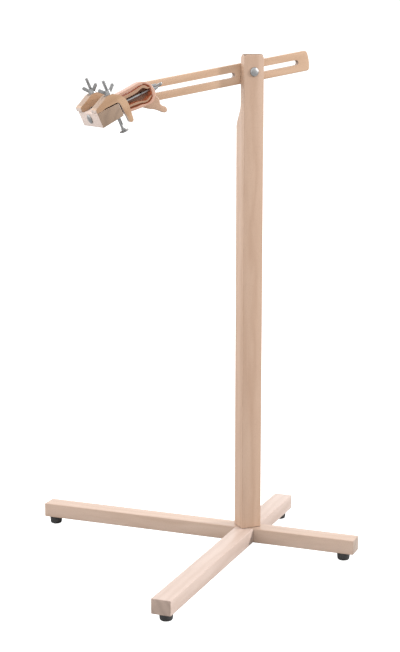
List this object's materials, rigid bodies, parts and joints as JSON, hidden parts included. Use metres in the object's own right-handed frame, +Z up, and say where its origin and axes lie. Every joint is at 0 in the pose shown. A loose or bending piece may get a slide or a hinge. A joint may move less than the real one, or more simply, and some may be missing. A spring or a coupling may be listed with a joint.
{
  "type": "embroidery frame floor stand",
  "caption": "Wooden floor stand with crossed feet, a slotted tilting arm and a clamp head with two jaws that hold an embroidery hoop or frame.",
  "frame": {"origin": "centre of the bounding box on the floor, under the feet", "axes": "+Z up along the post; the arm runs along X with the clamp head on -X; -Y is the front, where the arm bolt's domed head shows"},
  "size_m": [0.496, 0.6198, 0.9283],
  "materials": {
    "beech": "pale steamed beech, sanded, thin matt oil",
    "zinc_steel": "bright zinc-plated steel hardware",
    "black_rubber": "matt black moulded rubber"
  },
  "bodies": {
    "base": {"base_beam_left": "beech", "base_beam_front": "beech", "foot_left_long": "black_rubber", "foot_left_short": "black_rubber", "foot_front_long": "black_rubber", "foot_front_short": "black_rubber", "foot_screw_left_long": "zinc_steel", "foot_screw_left_short": "zinc_steel", "foot_screw_front_long": "zinc_steel", "foot_screw_front_short": "zinc_steel", "base_bolt": "zinc_steel", "base_washer": "zinc_steel", "base_insert": "zinc_steel", "base_dowel_right": "beech", "base_dowel_left": "beech", "post": "beech", "post_bolt": "zinc_steel"},
    "arm_carrier": {"post_washer": "zinc_steel"},
    "post_nut": {"post_wing_nut": "zinc_steel"},
    "arm": {"arm_bar": "beech"},
    "head_carrier": {"pivot_washer": "zinc_steel"},
    "head": {"pivot_block": "beech", "pivot_spacer": "beech", "pivot_bolt": "zinc_steel", "outer_loop": "beech", "inner_strip_upper": "beech", "inner_strip_lower": "beech", "tie_bolt": "zinc_steel", "tie_washer": "zinc_steel", "clamp_block": "beech"},
    "pivot_nut": {"pivot_wing_nut": "zinc_steel"},
    "tie_nut": {"tie_wing_nut": "zinc_steel"},
    "near_jaw": {"jaw_near": "beech", "clamp_bolt_near": "zinc_steel", "clamp_washer_near": "zinc_steel"},
    "near_nut": {"clamp_wing_nut_near": "zinc_steel"},
    "far_jaw": {"jaw_far": "beech", "clamp_bolt_far": "zinc_steel", "clamp_washer_far": "zinc_steel"},
    "far_nut": {"clamp_wing_nut_far": "zinc_steel"}
  },
  "joints": [
    {"name": "arm_tilt", "type": "hinge", "parent": "base", "child": "arm_carrier", "pos_m": [0.08304, 0, 0.8912], "axis": [0, -1, 0], "range_deg": [-45, 35]},
    {"name": "arm_slide", "type": "slide", "parent": "arm_carrier", "child": "arm", "axis": [-0.9857, 0, -0.1685], "range_m": [-0.006, 0.094]},
    {"name": "post_nut_spin", "type": "hinge", "parent": "base", "child": "post_nut", "pos_m": [0.08304, 0, 0.8912], "axis": [0, 1, 0], "continuous": true},
    {"name": "head_slide", "type": "slide", "parent": "arm", "child": "head_carrier", "axis": [0.9857, 0, 0.1685], "range_m": [-0.004, 0.108]},
    {"name": "head_pitch", "type": "hinge", "parent": "head_carrier", "child": "head", "pos_m": [-0.13234, 0, 0.85438], "axis": [0, -1, 0], "range_deg": [-70, 70]},
    {"name": "pivot_nut_spin", "type": "hinge", "parent": "head", "child": "pivot_nut", "pos_m": [-0.13234, 0, 0.85438], "axis": [0, 1, 0], "continuous": true},
    {"name": "tie_nut_spin", "type": "hinge", "parent": "head", "child": "tie_nut", "pos_m": [-0.14381, -0.0505, 0.85754], "axis": [0.9135, 0, 0.4067], "continuous": true},
    {"name": "near_jaw_lift", "type": "slide", "parent": "head", "child": "near_jaw", "axis": [-0.4067, 0, 0.9135], "range_m": [0, 0.0195]},
    {"name": "near_nut_spin", "type": "hinge", "parent": "near_jaw", "child": "near_nut", "pos_m": [-0.20428, -0.086, 0.82492], "axis": [-0.4067, 0, 0.9135], "continuous": true},
    {"name": "far_jaw_lift", "type": "slide", "parent": "head", "child": "far_jaw", "axis": [-0.4067, 0, 0.9135], "range_m": [0, 0.0095]},
    {"name": "far_nut_spin", "type": "hinge", "parent": "far_jaw", "child": "far_nut", "pos_m": [-0.20702, -0.015, 0.8237], "axis": [-0.4067, 0, 0.9135], "continuous": true}
  ]
}
